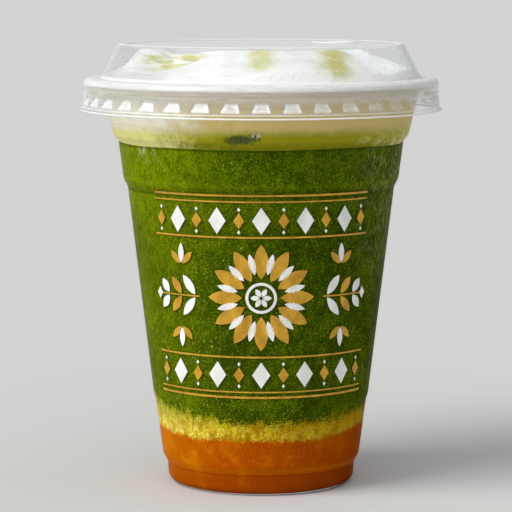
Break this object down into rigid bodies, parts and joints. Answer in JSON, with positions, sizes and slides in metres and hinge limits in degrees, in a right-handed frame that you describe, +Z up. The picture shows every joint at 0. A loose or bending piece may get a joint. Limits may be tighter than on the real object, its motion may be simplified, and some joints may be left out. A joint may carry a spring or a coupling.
{
  "type": "layered iced matcha drink in a clear lidded plastic cup",
  "caption": "Iced matcha drink over orange fruit syrup and yellow slush, with foam, in a clear plastic cup with a low domed lid",
  "frame": {"origin": "middle of the ring that the cup stands on, on the surface below it", "axes": "+Z up along the cup's axis, -Y towards the front of the drink, +X to the right seen from the front"},
  "size_m": [0.1018, 0.1018, 0.1244],
  "materials": {
    "cup": "clear, glossy",
    "lid": "clear, glossy",
    "syrup_layer": "smooth orange fruit puree",
    "slush_layer": "grainy yellow slush",
    "matcha_layer": "deep green with fine light specks",
    "pale_layer": "milky green",
    "foam": "soft white foam"
  },
  "bodies": {
    "root": {"cup": "cup", "lid": "lid", "syrup_layer": "syrup_layer", "slush_layer": "slush_layer", "matcha_layer": "matcha_layer", "pale_layer": "pale_layer", "foam": "foam"}
  },
  "joints": []
}
